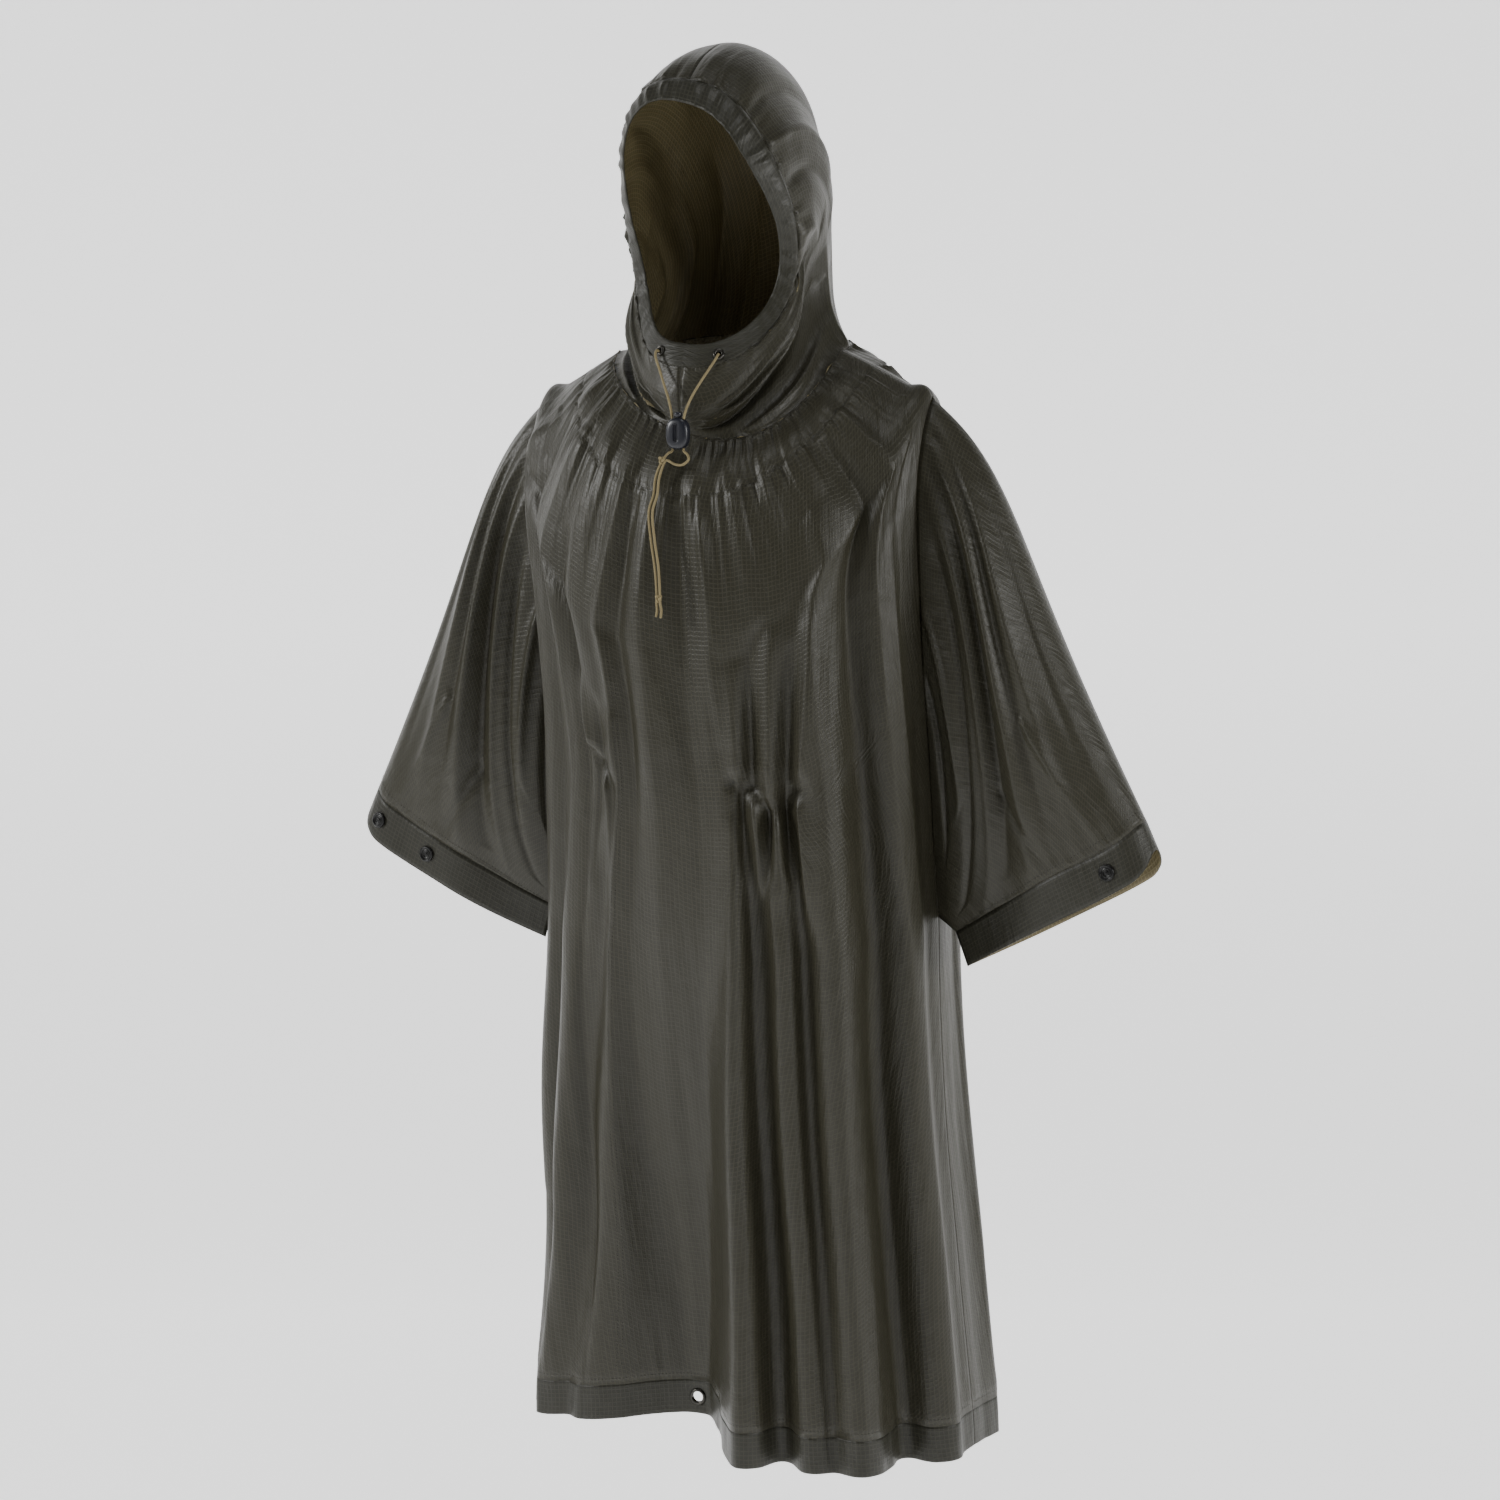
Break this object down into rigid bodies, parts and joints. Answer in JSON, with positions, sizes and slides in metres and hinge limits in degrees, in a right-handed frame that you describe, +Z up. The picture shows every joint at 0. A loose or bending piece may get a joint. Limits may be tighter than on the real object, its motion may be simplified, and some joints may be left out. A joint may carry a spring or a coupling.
{
  "type": "rain poncho",
  "caption": "Hooded rain poncho in dark olive ripstop cloth, hanging as worn, with drawcord hood, wide sleeves and gathered neck.",
  "frame": {"origin": "middle of the neck at the level of the shoulders, where the wearer's shoulders hold the garment", "axes": "+Z up, -Y to the front of the garment, +X to the wearer's left"},
  "size_m": [0.886, 0.4141, 1.4073],
  "materials": {
    "cloth": "thin coated ripstop weave, soft sheen",
    "hem_cloth": "doubled ripstop hem, soft sheen",
    "eyelet_metal": "blackened, satin",
    "stud": "black, satin",
    "lock_plastic": "near-black moulded plastic",
    "cord": "braided khaki cord, matt"
  },
  "bodies": {
    "root": {"front_panel": "cloth", "back_panel": "cloth", "sleeve_left": "cloth", "sleeve_right": "cloth", "hood_left": "cloth", "hood_right": "cloth", "front_hem": "hem_cloth", "back_hem": "hem_cloth", "cuff_hem_left": "hem_cloth", "cuff_hem_right": "hem_cloth", "hood_face_hem": "hem_cloth", "chin_eyelet_left": "eyelet_metal", "chin_eyelet_right": "eyelet_metal", "hem_eyelet": "eyelet_metal", "cuff_snap_left_front": "stud", "cuff_snap_left_back": "stud", "cuff_snap_right_tip_front": "stud", "cuff_snap_right_tip_back": "stud", "cuff_snap_right_low_front": "stud", "cuff_snap_right_low_back": "stud", "cord_lock_body": "lock_plastic", "cord_lock_button": "lock_plastic", "cord_left_upper": "cord", "cord_right_upper": "cord", "cord_left_loop": "cord", "cord_right_short": "cord", "cord_left_tail": "cord", "cord_right_tail": "cord", "cord_left_end": "cord", "cord_right_end": "cord", "cord_knot_upper": "cord", "cord_knot_lower": "cord"}
  },
  "joints": []
}
